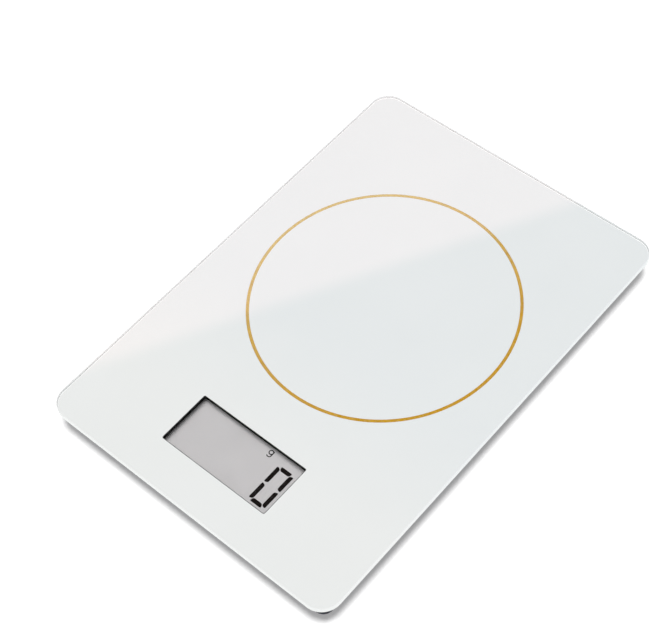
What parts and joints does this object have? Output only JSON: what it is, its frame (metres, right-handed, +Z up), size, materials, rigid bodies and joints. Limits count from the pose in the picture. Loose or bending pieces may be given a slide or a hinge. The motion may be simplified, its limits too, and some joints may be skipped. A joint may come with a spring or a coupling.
{
  "type": "kitchen scale",
  "caption": "Slim electronic kitchen scale with a white glass platform, printed gold ring, display window, side key, sprung feet and a coin-cell bay underneath.",
  "frame": {"origin": "on the table surface, under the middle of the platform", "axes": "+Z up, +Y from the display edge to the far edge, +X to the right of a user who reads the display"},
  "size_m": [0.15, 0.215, 0.016],
  "materials": {
    "glass": "polished, clear, toughened",
    "white_film": "white print seen through the glass",
    "gold_ink": "screen-printed ring",
    "foam_tape": "black foam tape",
    "housing": "fine matt texture, blue-black",
    "bezel": "matt black",
    "lcd": "grey reflective display",
    "rubber": "matt elastomer",
    "circuit_board": "green solder mask",
    "epoxy": "black moulded resin",
    "steel": "stamped and zinc plated",
    "nickel": "nickel-plated can",
    "gauge_foil": "strain gauge under clear resin",
    "white_plastic": "white plastic",
    "white_wire": "PVC insulation",
    "black_wire": "PVC insulation",
    "red_wire": "PVC insulation"
  },
  "bodies": {
    "base": {"glass_platform": "glass", "backing_film": "white_film", "ring_print": "gold_ink", "adhesive_tape": "foam_tape", "upper_housing": "housing", "bottom_cover": "housing", "display_bezel": "bezel", "display_panel": "lcd", "display_connector_strip": "rubber", "main_board": "circuit_board", "chip_epoxy_blob": "epoxy", "key_board": "circuit_board", "key_switch_body": "epoxy", "cell_contact_minus": "steel", "cell_contact_plus": "steel", "key_lead": "black_wire", "cell_lead_minus": "black_wire", "cell_lead_plus": "red_wire", "load_cell_front_left": "steel", "strain_gauge_front_left": "gauge_foil", "sensor_lead_front_left": "white_wire", "load_cell_front_right": "steel", "strain_gauge_front_right": "gauge_foil", "sensor_lead_front_right": "white_wire", "load_cell_back_left": "steel", "strain_gauge_back_left": "gauge_foil", "sensor_lead_back_left": "white_wire", "load_cell_back_right": "steel", "strain_gauge_back_right": "gauge_foil", "sensor_lead_back_right": "white_wire", "cover_screw_left_front": "steel", "cover_screw_right_front": "steel", "cover_screw_left_back": "steel", "cover_screw_right_back": "steel", "cover_screw_rear_left": "steel", "cover_screw_rear_right": "steel", "board_screw_left": "steel", "board_screw_right": "steel"},
    "side_key": {"side_key": "housing"},
    "key_plunger": {"key_switch_plunger": "white_plastic"},
    "battery_door": {"battery_door": "housing"},
    "coin_cell": {"coin_cell": "nickel"},
    "foot_front_left": {"foot_front_left": "housing", "foot_pad_front_left": "rubber"},
    "foot_front_right": {"foot_front_right": "housing", "foot_pad_front_right": "rubber"},
    "foot_back_left": {"foot_back_left": "housing", "foot_pad_back_left": "rubber"},
    "foot_back_right": {"foot_back_right": "housing", "foot_pad_back_right": "rubber"}
  },
  "joints": [
    {"name": "foot_front_left_travel", "type": "slide", "parent": "base", "child": "foot_front_left", "axis": [0, 0, 1], "range_m": [0, 0.0005], "stiffness_N_per_m": 10000},
    {"name": "foot_front_right_travel", "type": "slide", "parent": "base", "child": "foot_front_right", "axis": [0, 0, 1], "range_m": [0, 0.0005], "stiffness_N_per_m": 10000},
    {"name": "foot_back_left_travel", "type": "slide", "parent": "base", "child": "foot_back_left", "axis": [0, 0, 1], "range_m": [0, 0.0005], "stiffness_N_per_m": 10000},
    {"name": "foot_back_right_travel", "type": "slide", "parent": "base", "child": "foot_back_right", "axis": [0, 0, 1], "range_m": [0, 0.0005], "stiffness_N_per_m": 10000},
    {"name": "side_key_press", "type": "slide", "parent": "base", "child": "side_key", "axis": [-1, 0, 0], "range_m": [0, 0.0008], "stiffness_N_per_m": 2500},
    {"name": "key_plunger_travel", "type": "slide", "parent": "base", "child": "key_plunger", "axis": [-1, 0, 0], "range_m": [0, 0.0006]},
    {"name": "battery_door_lift", "type": "slide", "parent": "base", "child": "battery_door", "axis": [0, 0, -1], "range_m": [0, 0.03]},
    {"name": "coin_cell_lift", "type": "slide", "parent": "base", "child": "coin_cell", "axis": [0, 0, -1], "range_m": [0, 0.0155]}
  ],
  "couplings": [
    {"joint": "key_plunger_travel", "follows": "side_key_press", "ratio": 0.65},
    {"joint": "coin_cell_lift", "follows": "battery_door_lift", "ratio": 0.5}
  ]
}
